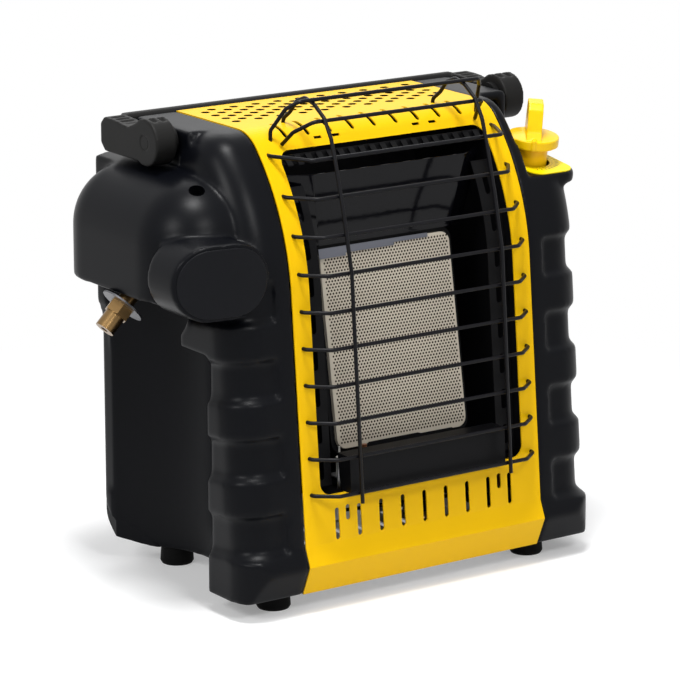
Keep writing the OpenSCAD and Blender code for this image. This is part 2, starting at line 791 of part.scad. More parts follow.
// Two ears and the hollow pin between them
module inlet_yoke() color(brass) {
    from_z(swivel.z - 8, swivel.z + 8) translate([-166, swivel.y - 17]) square([4, 34]);
    for (s = [-1, 1]) translate([0, swivel.y + s * 14, 0]) from_y(-3, 3) {
        translate([swivel.x, swivel.z]) circle(8);
        translate([swivel.x, swivel.z - 8]) square([-166 - swivel.x + eps, 16]);
    }
    translate(swivel) rotate([90, 0, 0]) cylinder(r = swivel_pin_r, h = 24, center = true);
}

module at_inlet() translate(swivel) rotate([0, 180 + inlet_angle, 0]) children();

module swivel_elbow() color(brass) difference() {
    union() {
        translate(swivel) rotate([90, 0, 0]) cylinder(r = 9.5, h = 21.4, center = true);
        at_inlet() cylinder(r = 7, h = 28);
    }
    translate(swivel) rotate([90, 0, 0]) cylinder(r = swivel_pin_r + 0.05, h = 40, center = true);
}

module gas_inlet() color(brass) at_inlet() difference() {
    union() {
        translate([0, 0, inlet_base - 9]) cylinder(r = 10.4, h = 9, $fn = 6);
        translate([0, 0, inlet_base - eps]) cylinder(r = inlet_r, h = inlet_len + eps);
    }
    translate([0, 0, 34]) cylinder(r = 3, h = 40);
}

module inlet_washer() color(charcoal) at_inlet() translate([0, 0, 28]) cylinder(r = 18, h = 1.4);

// ---------------------------------------------------------------- pipes

pipe_d = 6;
port_x = 17.4;
pilot_at = [-55, 17, 104];
pilot_x = pilot_at.x + 3;
pilot_y = pilot_at.y + 6;
spark_x = pilot_at.x - 9;
pilot_low = 96.8;
valve_low = knob_at + 40 * [0, sin(shelf_tilt), -cos(shelf_tilt)];
valve_high = knob_at + 28 * [0, sin(shelf_tilt), -cos(shelf_tilt)];
valve_back = knob_at + 34 * [0, sin(shelf_tilt), -cos(shelf_tilt)];

module supply_pipe() color(copper) wire([[-128, swivel.y, swivel.z], [-118, swivel.y, swivel.z],
    [-106, 172, 253], [118, 172, 262], [150, 140, 276], valve_back + [0, port_x + 0.6, 2.4]], pipe_d, 10);

module burner_pipe() color(copper) wire([orifice_side, [108, orifice_side.y, orifice_side.z],
    [116, 56, 60], [116, valve_low.y, valve_low.z], valve_low - [port_x, 0, 0]], pipe_d, 10);

module pilot_pipe() color(copper) wire([[pilot_x, pilot_y, pilot_low], [pilot_x, pilot_y, 76], [100, 30, 70],
    [118, 78, 90], [118, 78, valve_high.z], [121, valve_high.y, valve_high.z],
    valve_high - [port_x, 0, 0]], 4, 4);

// ---------------------------------------------------------------- burner

tile_foot = [0, 27, 116];
box_back = 40;
box_sheet = 0.8;
seat_gap = 0.2;
venturi_at = [30, 27];
venturi_len = 60;

module at_burner() translate(tile_foot) rotate([-tile_tilt, 0, 0]) children();
module burner_front(w, h, r) translate([0, h / 2]) round_rect(w, h, r);

module ceramic_tile() color(ceramic) at_burner() from_y(0, tile_t) burner_front(tile_w, tile_h, 8);

module burner_box() color(steel) at_burner() difference() {
    translate([0, 0, -4]) from_y(3, box_back) burner_front(tile_w + 8, tile_h + 8, 10);
    translate([0, 0, -seat_gap]) from_y(0, tile_t + step)
        burner_front(tile_w + 2 * seat_gap, tile_h + 2 * seat_gap, 8 + seat_gap);
    translate([0, 0, 4]) from_y(tile_t - eps, tile_t + 3) burner_front(tile_w - 8, tile_h - 8, 6);
    translate([0, 0, box_sheet - 4]) from_y(tile_t + 2, box_back - box_sheet)
        burner_front(tile_w + 8 - 2 * box_sheet, tile_h + 8 - 2 * box_sheet, 10 - box_sheet);
    translate([venturi_at.x, venturi_at.y, -10]) cylinder(r = 11, h = 30);
}

module venturi() color(steel) at_burner() translate([venturi_at.x, venturi_at.y, -4 - venturi_len]) difference() {
    union() {
        cylinder(r = 12.5, h = venturi_len);
        cylinder(r1 = 16, r2 = 12.5, h = 8);
    }
    translate([0, 0, -1]) cylinder(r = 11, h = venturi_len + 2);
}

module orifice_fitting() color(brass) at_burner() translate([venturi_at.x, venturi_at.y, -4 - venturi_len - 16]) {
    cylinder(r = 8, h = 9, $fn = 6);
    translate([0, 0, 9 - eps]) cylinder(r1 = 6, r2 = 3, h = 9);
}

orifice_drop = 4 + venturi_len + 11.5;
orifice_side = tile_foot + [venturi_at.x + 8.3,
    venturi_at.y * cos(tile_tilt) - orifice_drop * sin(tile_tilt),
    -venturi_at.y * sin(tile_tilt) - orifice_drop * cos(tile_tilt)];

module tile_clips() color(steel) at_burner() for (s = [-1, 1], z = [30, 120]) {
    translate([s * (tile_w / 2 - 1), -0.8, z]) cube([14, 1.6, 8], center = true);
    translate([s * (tile_w / 2 + 5), 6, z]) cube([2, 15, 8], center = true);
}

// ---------------------------------------------------------------- firebox

liner_x = 98.5;
liner_back = [[96, 88], [160, 350]];
liner_sheet = 0.6;

module hood_plate(w0, w1, a, b, t) {
    // a and b are (y, z) of the plate's lower and upper edge
    v = b - a;
    translate([0, a.x, a.y]) rotate([atan2(v.y, v.x), 0, 0])
        linear_extrude(t) polygon([[-w0, 0], [w0, 0], [w1, norm(v)], [-w1, norm(v)]]);
}

module reflector_hood() color(black) {
    hood_plate(62, 73, [54.06, 273.5], [47.5, 332], 1);
    hood_plate(62.5, 62.5, [67, 275], [52.9, 275], 1);
    both_sides() hull() for (p = [[61, 53, 274], [72, 46.5, 331], [94, 58.5, 331], [83, 65, 274]])
        translate(p) cube(1);
}

module side_reflectors() color(wire_black) both_sides() difference() {
    intersection() {
        translate([0, 10, 0]) skin(80, 97.5, 1);
        from_x(79, 99) translate([0, 95]) square([100, 229]);
    }
    from_y(0, 80) for (z = [108:28.4:340]) translate([89, z]) slot(5, 16);
}

module firebox_liner() color(steel) difference() {
    union() {
        both_sides() from_x(liner_x, liner_x + liner_sheet) intersection() {
            profile(3);
            polygon([[0, 88], liner_back[0], liner_back[1], [0, 350]]);
        }
        from_x(-liner_x - eps, liner_x + eps) polygon([liner_back[0], liner_back[1], liner_back[1] - [liner_sheet, 0],
            liner_back[0] - [liner_sheet, 0]]);
        from_x(-liner_x - eps, liner_x + eps) translate([4, 88]) square([92, liner_sheet]);
    }
    at_burner() translate([venturi_at.x, venturi_at.y, -60]) cylinder(r = 15, h = 56);
    from_z(80, 95) {
        translate([pilot_x, pilot_y]) circle(3.5);
        translate([spark_x, pilot_y]) circle(3);
    }
}

module louvre_strip() color(wire_black) {
    from_x(-95, 95) polygon([[57, 347.3], [58, 347.3], [58, 340], [57, 340]]);
    for (x = [-90:10:90]) translate([x, 0, 0]) from_x(-2.5, 2.5)
        polygon([[57 + eps, 347], [50, 341], [50, 340], [57 + eps, 344]]);
}

module tray_bar() color(wire_black) difference() {
    union() {
        from_x(-74, 74) polygon([[-8.3, 91.3], [-7.3, 91.3], [-5.5, 118.5], [10, 119], [10, 120], [-6.5, 120]]);
        for (s = [-1, 1]) from_x(s * 74 - 0.5, s * 74 + 0.5)
            polygon([[-8.3, 91.3], [-6.5, 120], [10, 120], [6, 92], [5.5, 91.3]]);
    }
}

// ---------------------------------------------------------------- pilot and tilt switch

// An upright plate on the firebox floor with the shelf that carries the pilot, electrode and thermocouple
module pilot_bracket() color(steel) translate(pilot_at) {
    translate([-16, -2, 88 + liner_sheet + step - pilot_at.z]) cube([36, 1, 23]);
    translate([-16, -2, -7]) cube([36, 14, 1 - step]);
}

module pilot_burner() color(brass) translate(pilot_at + [3, 6, -6]) {
    cylinder(d = 7, h = 14);
    translate([0, 0, 10]) cylinder(d = 9, h = 5);
}

module spark_electrode() color("white") translate(pilot_at + [-9, 6, -6]) {
    cylinder(d = 5, h = 14);
    translate([0, 0, 14]) cylinder(d = 1.6, h = 8);
}

module thermocouple() color(copper) translate(pilot_at + [15, 6, -6]) cylinder(d = 4, h = 20);

module ignition_lead() color(wire_black) wire([[spark_x, pilot_y, pilot_low], [spark_x, pilot_y, 68],
    [108, 24, 58], [128, 60, 100], [128, 90, 205], [150, 76.6, 212.2]], 3, 6);

switch_at = [0, 150, floor_z + sheet];

module tilt_switch_housing() color(steel) translate(switch_at) {
    for (s = [-1, 1]) from_x(s * 12 - 0.6, s * 12 + 0.6) difference() {
        translate([-12, 0]) square([24, 44]);
        translate([0, 36]) circle(2);
    }
    from_z(0, sheet) translate([-20, -12]) square([40, 24]);
    translate([0, 0, 36]) rotate([0, 90, 0]) cylinder(r = 2, h = 26, center = true);
}

module tilt_pendulum() color(brass) translate(switch_at) difference() {
    union() {
        from_x(-3, 3) {
            translate([0, 36]) circle(5);
            translate([-2.5, 14]) square([5, 22]);
        }
        translate([0, 0, 14]) rotate([0, 90, 0]) cylinder(r = 9, h = 16, center = true);
    }
    translate([0, 0, 36]) rotate([0, 90, 0]) cylinder(r = 2.05, h = 26, center = true);
}

placed() front_panel();
placed() left_shell();
placed() right_shell();
placed() rear_panel();
placed() base_plate();
placed() rubber_feet();
placed() handle();
placed() handle_pivot_pins();
placed() badge_plate();
placed() dial_plate();
placed() control_knob();
placed() valve_stem();
placed() gas_valve();
placed() valve_bracket();
placed() igniter_plunger();
placed() piezo_igniter();
placed() regulator();
placed() inlet_yoke();
placed() swivel_elbow();
placed() gas_inlet();
placed() inlet_washer();
placed() supply_pipe();
placed() burner_pipe();
placed() pilot_pipe();
placed() burner_box();
placed() ceramic_tile();
placed() tile_clips();
placed() venturi();
placed() orifice_fitting();
placed() reflector_hood();
placed() side_reflectors();
placed() firebox_liner();
placed() louvre_strip();
placed() tray_bar();
placed() guard_bars();
placed() guard_uprights();
placed() guard_top_loop();
placed() pilot_bracket();
placed() pilot_burner();
placed() spark_electrode();
placed() thermocouple();
placed() ignition_lead();
placed() tilt_switch_housing();
placed() tilt_pendulum();
placed() rear_screws();
placed() shell_screws();
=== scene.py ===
import math
import bmesh
import bpy
from mathutils import Matrix, Vector


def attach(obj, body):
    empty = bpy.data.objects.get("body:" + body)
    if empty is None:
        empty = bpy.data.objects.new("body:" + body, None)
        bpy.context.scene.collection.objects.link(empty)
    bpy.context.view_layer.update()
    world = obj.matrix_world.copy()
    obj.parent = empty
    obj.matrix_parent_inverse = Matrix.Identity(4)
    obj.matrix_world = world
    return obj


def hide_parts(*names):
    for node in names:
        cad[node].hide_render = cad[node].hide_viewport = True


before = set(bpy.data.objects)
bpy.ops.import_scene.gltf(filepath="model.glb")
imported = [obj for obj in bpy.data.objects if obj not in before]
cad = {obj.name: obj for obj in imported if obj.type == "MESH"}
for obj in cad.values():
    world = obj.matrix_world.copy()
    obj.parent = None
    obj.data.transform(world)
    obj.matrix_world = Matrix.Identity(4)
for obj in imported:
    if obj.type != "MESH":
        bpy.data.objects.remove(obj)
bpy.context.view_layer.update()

# Where the heater's parts are drawn from: the foot of the yellow sheet, on its centre line
SHEET_FOOT = Vector((0.0233546, -0.09095, 0.0))

# ------------------------------------------------------------------ camera
# A long lens at the height of a table, turned to show the bottle side and the front.


def put(name, data):
    """A new object with that data, in the scene."""
    thing = bpy.data.objects.new(name, data)
    bpy.context.scene.collection.objects.link(thing)
    return thing


picture_px, lens_px, sensor_mm = 680, 3703, 36.0
stand_off, shift_left, shift_up = 2.917, 0.06502, 0.194314
heading, drop = math.radians(34.864), math.radians(14.453)
ahead = Vector((math.sin(heading) * math.cos(drop), math.cos(heading) * math.cos(drop),
                -math.sin(drop)))
across = Vector((math.cos(heading), -math.sin(heading), 0.0))
upward = across.cross(ahead)
eye = SHEET_FOOT - stand_off * ahead - shift_left * across + shift_up * upward
camera = put("camera", bpy.data.cameras.new("camera"))
camera.data.sensor_width = sensor_mm
camera.data.lens = lens_px * sensor_mm / picture_px
camera.data.clip_start, camera.data.clip_end = 0.1, 50.0
facing = Matrix((across, upward, -ahead)).transposed().to_4x4()
camera.matrix_world = Matrix.Translation(eye) @ facing
bpy.context.scene.camera = camera
bpy.context.scene.view_settings.view_transform = "Standard"

# ------------------------------------------------------------------ studio
# A white floor that runs to the horizon under four soft boxes and an even sky.


def shader(owner, kind, place, **values):
    """A node of that kind in a material or the sky, with its inputs set by name."""
    node = owner.node_tree.nodes.new(kind)
    node.location = place
    for name, value in values.items():
        node.inputs[name.replace("_", " ")].default_value = value
    return node


def seen_rays(tree):
    """One where the camera, a reflection or a pane looks at the studio, nought for its light."""
    rays = tree.nodes.new("ShaderNodeLightPath")
    total = None
    for ray in ("Is Camera Ray", "Is Glossy Ray", "Is Transmission Ray"):
        if total is None:
            total = rays.outputs[ray]
            continue
        either = tree.nodes.new("ShaderNodeMath")
        either.operation = "MAXIMUM"
        tree.links.new(total, either.inputs[0])
        tree.links.new(rays.outputs[ray], either.inputs[1])
        total = either.outputs[0]
    return total


def seen_apart(owner, light, view):
    """Gives the object the one shader's light, and shows the other where it is seen."""
    mix = shader(owner, "ShaderNodeMixShader", (600, 0))
    owner.node_tree.links.new(seen_rays(owner.node_tree), mix.inputs[0])
    owner.node_tree.links.new(light.outputs[0], mix.inputs[1])
    owner.node_tree.links.new(view.outputs[0], mix.inputs[2])
    return mix


floor_half = 6
floor_mesh = bpy.data.meshes.new("studio_floor")
floor_mesh.from_pydata([(-floor_half, -floor_half, 0), (floor_half, -floor_half, 0),
                        (floor_half, floor_half, 0), (-floor_half, floor_half, 0)],
                       [], [(0, 1, 2, 3)])
floor = put("studio_floor", floor_mesh)
white_floor = bpy.data.materials.new("white_floor")
white_floor.use_nodes = True
white_floor.node_tree.nodes.clear()
link = white_floor.node_tree.links.new
lit = shader(white_floor, "ShaderNodeBsdfDiffuse", (0, 0), Color=(0.80, 0.80, 0.80, 1))
lift = shader(white_floor, "ShaderNodeEmission", (0, -160), Color=(1, 1, 1, 1), Strength=0.26)
bright = shader(white_floor, "ShaderNodeEmission", (0, -320), Color=(1, 1, 1, 1), Strength=1.0)
near = shader(white_floor, "ShaderNodeAddShader", (200, 0))
spread = shader(white_floor, "ShaderNodeMixShader", (400, 0))
out = shader(white_floor, "ShaderNodeOutputMaterial", (800, 0))
where = shader(white_floor, "ShaderNodeTexCoord", (-600, 200))
reach = shader(white_floor, "ShaderNodeVectorMath", (-400, 200))
reach.operation = "LENGTH"
fade = shader(white_floor, "ShaderNodeMapRange", (-200, 200), From_Min=0.30, From_Max=0.75)
link(where.outputs["Object"], reach.inputs[0])
link(reach.outputs["Value"], fade.inputs["Value"])
link(lit.outputs[0], near.inputs[0])
link(lift.outputs[0], near.inputs[1])
link(fade.outputs[0], spread.inputs[0])
link(near.outputs[0], spread.inputs[1])
link(bright.outputs[0], spread.inputs[2])
link(seen_apart(white_floor, lit, spread).outputs[0], out.inputs[0])
floor.data.materials.append(white_floor)

sky = bpy.data.worlds.new("studio_sky")
bpy.context.scene.world = sky
sky.use_nodes = True
sky.node_tree.nodes.clear()
sky_even = shader(sky, "ShaderNodeBackground", (0, 0), Color=(0.97, 0.98, 1.0, 1), Strength=0.30)
sky_white = shader(sky, "ShaderNodeBackground", (0, -160), Color=(1, 1, 1, 1), Strength=1.0)
sky_out = shader(sky, "ShaderNodeOutputWorld", (800, 0))
sky.node_tree.links.new(seen_apart(sky, sky_even, sky_white).outputs[0], sky_out.inputs[0])

lamp_aim = Vector((0, 0, 0.18))
for name, place, size, power in [
    ("soft_box_left", (-1.6, -0.5, 1.3), 0.5, 12.0),
    ("soft_box_front", (-0.3, -1.9, 1.7), 0.5, 16.0),
    ("soft_box_above", (-0.25, -0.35, 2.0), 0.45, 30.0),
    ("soft_box_back", (0.6, 1.3, 1.6), 1.2, 8.0),
]:
    lamp = put(name, bpy.data.lights.new(name, "AREA"))
    lamp.data.shape = "SQUARE"
    lamp.data.size = size
    lamp.data.energy = power
    lamp.location = place
    lamp.rotation_euler = (Vector(place) - lamp_aim).to_track_quat("Z", "Y").to_euler()

# ------------------------------------------------------------------ moulded shells
# The two side shells are blow-moulded in black plastic with a fine etched grain. Their edges are
# soft, and each is one piece from the foot to the deck.


def finish(name, colour, rough, metal=0.0, grain=(1400.0, 0.00006), cloud=0.04, tone=0.12,
           gloss=0.5):
    """A procedural finish: fine grain as bump, and slow drifts of tone and roughness.

    The grain is how fine it is and how deep, in metres. Cloud is the drift of the roughness.
    """
    grain_scale, grain_depth = grain
    material = bpy.data.materials.new(name)
    material.use_nodes = True
    nodes, links = material.node_tree.nodes, material.node_tree.links
    nodes.clear()
    body = shader(material, "ShaderNodeBsdfPrincipled", (300, 0), Metallic=metal,
                  Specular_IOR_Level=gloss)
    out = shader(material, "ShaderNodeOutputMaterial", (600, 0))
    where = shader(material, "ShaderNodeTexCoord", (-900, 0))
    fine = shader(material, "ShaderNodeTexNoise", (-600, -250), Scale=grain_scale, Detail=2.0)
    slow = shader(material, "ShaderNodeTexNoise", (-600, 100), Scale=22.0, Detail=5.0)
    bump = shader(material, "ShaderNodeBump", (50, -250), Strength=0.6, Distance=grain_depth)
    rough_range = shader(material, "ShaderNodeMapRange", (-300, 100),
                         To_Min=rough - cloud, To_Max=rough + cloud)
    tone_range = shader(material, "ShaderNodeMapRange", (-300, 350),
                        To_Min=1 - tone, To_Max=1 + tone)
    tinted = shader(material, "ShaderNodeVectorMath", (0, 300))
    tinted.operation = "SCALE"
    tinted.inputs[0].default_value = colour
    links.new(where.outputs["Object"], fine.inputs["Vector"])
    links.new(where.outputs["Object"], slow.inputs["Vector"])
    links.new(slow.outputs["Fac"], rough_range.inputs["Value"])
    links.new(slow.outputs["Fac"], tone_range.inputs["Value"])
    links.new(tone_range.outputs[0], tinted.inputs["Scale"])
    links.new(tinted.outputs[0], body.inputs["Base Color"])
    links.new(rough_range.outputs[0], body.inputs["Roughness"])
    links.new(fine.outputs["Fac"], bump.inputs["Height"])
    links.new(bump.outputs[0], body.inputs["Normal"])
    links.new(body.outputs[0], out.inputs[0])
    return material


def copy_of(node, name):
    """A merged copy of a CAD node's mesh as a new piece."""
    mesh = cad[node].data.copy()
    mesh.name = name
    mesh.materials.clear()
    piece = put(name, mesh)
    work = bmesh.new()
    work.from_mesh(mesh)
    bmesh.ops.remove_doubles(work, verts=work.verts, dist=1e-6)
    work.to_mesh(mesh)
    work.free()
    if mesh.has_custom_normals:
        bpy.context.view_layer.objects.active = piece
        bpy.ops.mesh.customdata_custom_splitnormals_clear()
    return piece


def settled(piece):
    """Turns what a piece's modifiers make into its own plain mesh."""
    graph = bpy.context.evaluated_depsgraph_get()
    made = bpy.data.meshes.new_from_object(piece.evaluated_get(graph))
    made.name = piece.name
    piece.modifiers.clear()
    piece.data = made
    return piece


def softened(node, name, cell, passes):
    """A CAD node with its edges rounded off as a mould leaves them."""
    piece = copy_of(node, name)
    remesh = piece.modifiers.new("remesh", "REMESH")
    remesh.mode = "VOXEL"
    remesh.voxel_size = cell
    smooth = piece.modifiers.new("smooth", "SMOOTH")
    smooth.iterations = passes
    smooth.factor = 0.5
    settled(piece)
    piece.data.shade_smooth()
    return piece


def edged(piece, angle):
    """Shades a piece smooth and keeps the edges that bend by that many degrees."""
    piece.data.shade_smooth()
    piece.data.set_sharp_from_angle(angle=math.radians(angle))
    return piece


def drilled(piece, cutter):
    """Cuts the cutter's shape out of a piece and takes the cutter away."""
    cut = piece.modifiers.new("cut", "BOOLEAN")
    cut.object = cutter
    cut.material_mode = "TRANSFER"
    settled(piece)
    bpy.data.objects.remove(cutter)
    return edged(piece, 35)


def shaped(name, work):
    """A new piece with the mesh that the work holds."""
    mesh = bpy.data.meshes.new(name)
    work.to_mesh(mesh)
    work.free()
    return put(name, mesh)


def bore(centre, way, radius, depth, name="bore"):
    """A round plug or cutter, as deep on both sides of the centre along the direction way."""
    work = bmesh.new()
    bmesh.ops.create_cone(work, cap_ends=True, segments=40, radius1=radius, radius2=radius,
                          depth=2 * depth)
    plug = shaped(name, work)
    along = Vector(way).to_track_quat("Z", "Y").to_matrix().to_4x4()
    plug.data.transform(Matrix.Translation(centre) @ along)
    return plug


def drawn_out(name, outline, way):
    """A flat outline drawn out along a way to a solid piece."""
    work = bmesh.new()
    face = work.faces.new([work.verts.new(point) for point in outline])
    moved = bmesh.ops.extrude_face_region(work, geom=[face])["geom"]
    far_points = [part for part in moved if isinstance(part, bmesh.types.BMVert)]
    bmesh.ops.translate(work, vec=way, verts=far_points)
    bmesh.ops.recalc_face_normals(work, faces=work.faces)
    return shaped(name, work)


def fitted(piece, body, material):
    """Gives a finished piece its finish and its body."""
    piece.data.materials.clear()
    piece.data.materials.append(material)
    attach(piece, body)


def stand_for(piece, node, body, material):
    """Puts a finished piece in a CAD node's place."""
    fitted(piece, body, material)
    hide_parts(node)


shell_black = finish("moulded_black", (0.0018, 0.0021, 0.0033), 0.34, grain=(2600.0, 0.00003),
                     gloss=0.095)
left_moulding = softened("left_shell", "left_shell_moulding", cell=0.0019, passes=8)
right_moulding = softened("right_shell", "right_shell_moulding", cell=0.0019, passes=8)
# the sunk screw between the shoulder and the dome
drilled(left_moulding, bore(SHEET_FOOT + Vector((-0.1673, 0.0626, 0.3286)), (-0.35, -0.5, 0.79),
                            radius=0.0062, depth=0.012))
stand_for(left_moulding, "left_shell", "body", shell_black)
stand_for(right_moulding, "right_shell", "body", shell_black)


def at(x, y, z):
    """A point given in millimetres from the foot of the yellow sheet."""
    return SHEET_FOOT + Vector((x, y, z)) / 1000


# The webs that close each shell beside and along the cut of its heel, behind the rear foot
beside = [(x, y, z) for x in (135.3, 136.8)
          for y, z in ((166.0, 15.4), (202.6, 15.4), (202.6, 53.0))]
slant = [(x, y, z) for x in (136.0, 144.3)
         for y, z in ((170.6, 18.2), (200.3, 49.6), (169.5, 19.3), (199.2, 50.7))]
for side, name, webs in ((-1, "heel_web_left", [beside]), (1, "heel_web_right", [beside, slant])):
    work = bmesh.new()
    for corners in webs:
        points = [work.verts.new(at(side * x, y, z)) for x, y, z in corners]
        bmesh.ops.convex_hull(work, input=points)
    fitted(shaped(name, work), "body", shell_black)

# The left heel, fuller and rounded, with its inner side hollowed to follow the bottle bay
heel_inside, heel_width = -136.0, 0.0310
heel_side = [(202.1, 55), (202.1, 43), (201.1, 38.5), (199.4, 34.9), (196.5, 31.3), (193, 27.8),
             (189, 24.4), (185, 21.6), (180.5, 19.1), (176, 17.2), (171.5, 15.8), (167, 15.2),
             (165, 15.2), (201, 55)]
bay_middle = SHEET_FOOT + Vector((-0.203, 0.118, 0.03))
heel = drawn_out("heel_left", [at(heel_inside, y, z) for y, z in heel_side], (-heel_width, 0, 0))
drilled(heel, bore(bay_middle, (0, 0, 1), radius=0.0783, depth=0.06))
fitted(heel, "body", shell_black)

# ------------------------------------------------------------------ badge plate
# A bare plate, moulded in charcoal plastic that is a little lighter than the shell. It clips into
# the pod on the bottle side.
badge_grey = finish("badge_grey", (0.0050, 0.0053, 0.0068), 0.40, grain=(3200.0, 0.00004),
                    gloss=0.10)
stand_for(softened("badge_plate", "badge_plate_moulding", cell=0.0006, passes=3),
          "badge_plate", "body", badge_grey)

# ------------------------------------------------------------------ folding handle
# A bail of satin charcoal plastic, moulded in one with its two arms. It turns on two black pins
# at the top of the shells, each closed off by a round plug.
handle_grey = finish("handle_charcoal", (0.0085, 0.0083, 0.0080), 0.50, grain=(1900.0, 0.00008),
                     gloss=0.12)
stand_for(softened("handle", "handle_moulding", cell=0.0012, passes=5),
          "handle", "handle", handle_grey)
pivot = SHEET_FOOT + Vector((0, 0.123, 0.356))
plug_out = 0.1750
for side, name in ((-1, "pivot_plug_left"), (1, "pivot_plug_right")):
    plug = bore(pivot + Vector((side * plug_out, 0, 0)), (side, 0, 0), radius=0.0053,
                depth=0.0008, name=name)
    fitted(plug, "handle", handle_grey)

# ------------------------------------------------------------------ yellow front and deck
# One sheet of steel, punched, folded and rolled at the nose, with a smooth signal yellow powder
# coat. It is held between the two shells.
yellow_coat = finish("yellow_powder_coat", (0.80, 0.47, 0.001), 0.40, grain=(700.0, 0.00006),
                     cloud=0.03, tone=0.03, gloss=0.12)


def eased(node, name):
    """A CAD node with its curves shaded smooth and its edges kept."""
    return edged(copy_of(node, name), 30)


def tree_of(name, **sizes):
    """An empty Geometry Nodes tree with its sizes as named inputs, and the node they come from."""
    tree = bpy.data.node_groups.new(name, "GeometryNodeTree")
    tree.interface.new_socket("Geometry", in_out="OUTPUT", socket_type="NodeSocketGeometry")
    for size, value in sizes.items():
        socket = tree.interface.new_socket(size, in_out="INPUT", socket_type="NodeSocketFloat")
        socket.default_value = value
    return tree, tree.nodes.new("NodeGroupInput")


def node_in(tree, kind, inputs=(), **settings):
    """A node in a tree, with its settings, and its inputs as pairs of name and value."""
    made = tree.nodes.new(kind)
    for name, value in settings.items():
        setattr(made, name, value)
    for name, value in inputs:
        made.inputs[name].default_value = value
    return made


def worked_out(tree, operation, first, second):
    """What a Math node makes of two sockets or numbers."""
    made = node_in(tree, "ShaderNodeMath", operation=operation)
    for slot, value in enumerate((first, second)):
        if isinstance(value, (int, float)):
            made.inputs[slot].default_value = value
        else:
            tree.links.new(value, made.inputs[slot])
    return made.outputs[0]


def grown(name, tree, material, place, **sizes):
    """Runs a tree once and keeps what it makes as a plain piece in its place."""
    piece = put(name, bpy.data.meshes.new(name))
    maker = piece.modifiers.new("maker", "NODES")
    maker.node_group = tree
    for socket in tree.interface.items_tree:
        if socket.in_out == "INPUT" and socket.name in sizes:
            maker[socket.identifier] = sizes[socket.name]
    settled(piece)
    piece.data.transform(place)
    piece.data.materials.clear()
    piece.data.materials.append(material)
    return piece


def end_tree(tree, source, material):
    """Ends a tree in plain geometry with its material."""
    real = node_in(tree, "GeometryNodeRealizeInstances")
    coat = node_in(tree, "GeometryNodeSetMaterial", [("Material", material)])
    exit_node = node_in(tree, "NodeGroupOutput")
    tree.links.new(source, real.inputs[0])
    tree.links.new(real.outputs[0], coat.inputs["Geometry"])
    tree.links.new(coat.outputs[0], exit_node.inputs[0])


def staggered(tree, sizes_in, shape, pitch_x, pitch_y):
    """Sets the shape out on two grids, the second moved on by half a pitch both ways."""
    # one point more than there are gaps, and a little over, because the count is rounded down
    end_point = 1.01
    both = node_in(tree, "GeometryNodeJoinGeometry")
    for shift in (0.0, 0.5):
        rows = node_in(tree, "GeometryNodeMeshGrid")
        for side, size, pitch in (("X", "Width", pitch_x), ("Y", "Height", pitch_y)):
            tree.links.new(sizes_in.outputs[size], rows.inputs["Size " + side])
            gaps = worked_out(tree, "DIVIDE", sizes_in.outputs[size], pitch)
            tree.links.new(worked_out(tree, "ADD", gaps, end_point),
                           rows.inputs["Vertices " + side])
        move = node_in(tree, "GeometryNodeTransform")
        offset = node_in(tree, "ShaderNodeCombineXYZ")
        tree.links.new(worked_out(tree, "MULTIPLY", pitch_x, shift), offset.inputs["X"])
        tree.links.new(worked_out(tree, "MULTIPLY", pitch_y, shift), offset.inputs["Y"])
        tree.links.new(rows.outputs["Mesh"], move.inputs["Geometry"])
        tree.links.new(offset.outputs[0], move.inputs["Translation"])
        set_out = node_in(tree, "GeometryNodeInstanceOnPoints")
        tree.links.new(move.outputs[0], set_out.inputs["Points"])
        tree.links.new(shape, set_out.inputs["Instance"])
        tree.links.new(set_out.outputs[0], both.inputs[0])
    return both.outputs[0]


# The deck's punched openings, staggered row by row, with their cut walls given a near-black
# painted shade for the dark inside the heater. Each is an oval, drawn from a cylinder of 1 mm
# radius.
punch_painted_shade = finish("punched_edge_painted_shade", (0.008, 0.006, 0.003), 0.7, gloss=0.0)
deck_middle = SHEET_FOOT + Vector((-0.0052, 0.1339, 0.3655))
oval_stretch = (3.9, 3.4, 1.0)
punch_tree, sizes_in = tree_of("deck_openings", Pitch=0.0208, Row=0.0146, Width=0.1872,
                               Height=0.0438)
oval = node_in(punch_tree, "GeometryNodeMeshCylinder",
               [("Vertices", 20), ("Radius", 0.001), ("Depth", 0.006)])
wide = node_in(punch_tree, "GeometryNodeTransform", [("Scale", oval_stretch)])
punch_tree.links.new(oval.outputs["Mesh"], wide.inputs["Geometry"])
end_tree(punch_tree, staggered(punch_tree, sizes_in, wide.outputs[0], sizes_in.outputs["Pitch"],
                               sizes_in.outputs["Row"]), punch_painted_shade)
front_sheet = eased("front_panel", "front_sheet")
front_sheet.data.materials.append(yellow_coat)
# the cut carries the painted shade over to the walls of the openings
drilled(front_sheet, grown("deck_openings", punch_tree, punch_painted_shade,
                           Matrix.Translation(deck_middle)))
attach(front_sheet, "body")
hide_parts("front_panel")

# ------------------------------------------------------------------ wire guard
# Bars, uprights and a loop of steel wire, bent, welded and dip-coated in satin black. Their ends
# hook into holes of the yellow sheet.
wire_coat = finish("wire_dip_coat", (0.0035, 0.0035, 0.0048), 0.33, grain=(1500.0, 0.00010),
                   gloss=0.14)
for node in ("guard_bars", "guard_uprights", "guard_top_loop"):
    wire = copy_of(node, node.replace("guard", "guard_wire"))
    wire.data.shade_smooth()
    stand_for(wire, node, "body", wire_coat)

# ------------------------------------------------------------------ hood, side plates and firebox
# Folded steel sheet round the burner: an enamelled hood above it, a slotted plate at each side
# and the bar of the tray below. All but the hood is blackened by the heat.


def dress(node, material):
    """Gives a CAD node that keeps its own mesh a finish."""
    cad[node].data.materials.clear()
    cad[node].data.materials.append(material)


